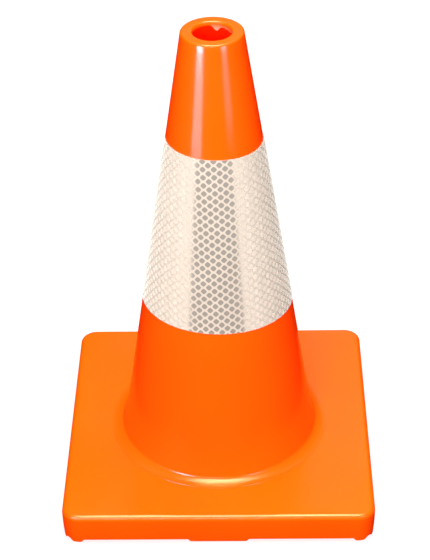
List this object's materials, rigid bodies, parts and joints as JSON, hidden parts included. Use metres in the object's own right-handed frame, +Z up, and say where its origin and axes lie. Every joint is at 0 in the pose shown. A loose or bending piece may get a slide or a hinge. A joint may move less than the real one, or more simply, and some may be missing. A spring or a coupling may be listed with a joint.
{
  "type": "traffic cone",
  "caption": "Soft vinyl road cone with a square footed base, an open top and a wrapped white retro-reflective collar.",
  "frame": {"origin": "on the ground at the centre of the square base", "axes": "+Z up along the cone's axis, -Y towards the front, +X to the right; the collar's lap seam is at +Y"},
  "size_m": [0.2922, 0.2922, 0.4572],
  "materials": {
    "shell_vinyl": "glossy fluorescent red-orange soft PVC, moulded, with a faint flow texture",
    "base_vinyl": "satin-gloss orange soft PVC with softly rounded edges",
    "backing_film": "white vinyl backing film",
    "prismatic_film": "clear glossy prismatic sheet, cream white, sealed in a lattice of small diamond cells"
  },
  "bodies": {
    "root": {"cone_shell": "shell_vinyl", "base": "base_vinyl", "collar_backing": "backing_film", "prismatic_sheet": "prismatic_film"}
  },
  "joints": []
}
